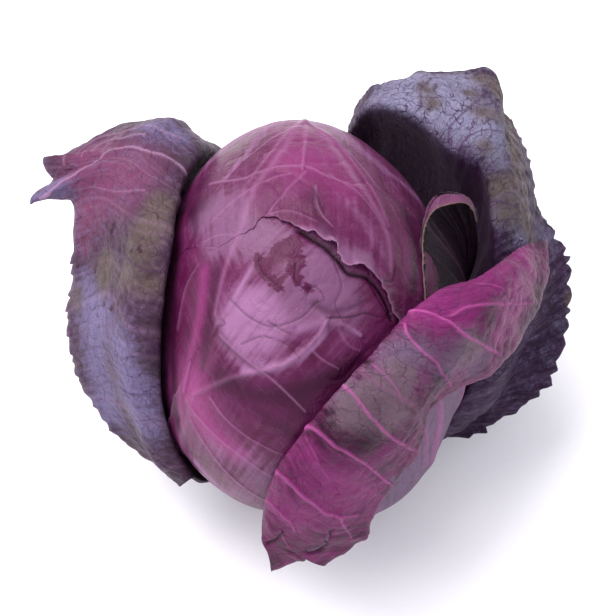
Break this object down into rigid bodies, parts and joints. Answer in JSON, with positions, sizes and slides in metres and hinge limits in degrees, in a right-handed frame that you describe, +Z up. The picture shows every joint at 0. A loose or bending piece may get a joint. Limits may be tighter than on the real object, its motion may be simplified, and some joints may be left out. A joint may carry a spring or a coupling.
{
  "type": "red cabbage head",
  "caption": "Red cabbage head standing on its cut stem, a dense oval ball of wrapped leaves with loose outer leaves curling outward",
  "frame": {"origin": "centre of the stem's flat cut face, which the head stands on", "axes": "+Z up through the head, -Y toward the front, +X toward the right seen from the front"},
  "size_m": [0.2686, 0.2381, 0.1926],
  "materials": {
    "stem": "pale moist cut stem with a fibrous rind",
    "ball_leaf": "waxy magenta leaf with a thin pale bloom",
    "dusky_leaf": "dusty violet leaf with fine dark veins",
    "slate_leaf": "blue-grey leaf with a net of dark veins",
    "magenta_leaf": "magenta leaf with raised pink ribs",
    "curled_leaf": "dark mottled leaf with a pale rim"
  },
  "bodies": {
    "root": {"cut_stem": "stem", "head": "ball_leaf", "leaf_left": "dusky_leaf", "leaf_right": "slate_leaf", "leaf_front": "magenta_leaf", "leaf_curled": "curled_leaf"}
  },
  "joints": []
}
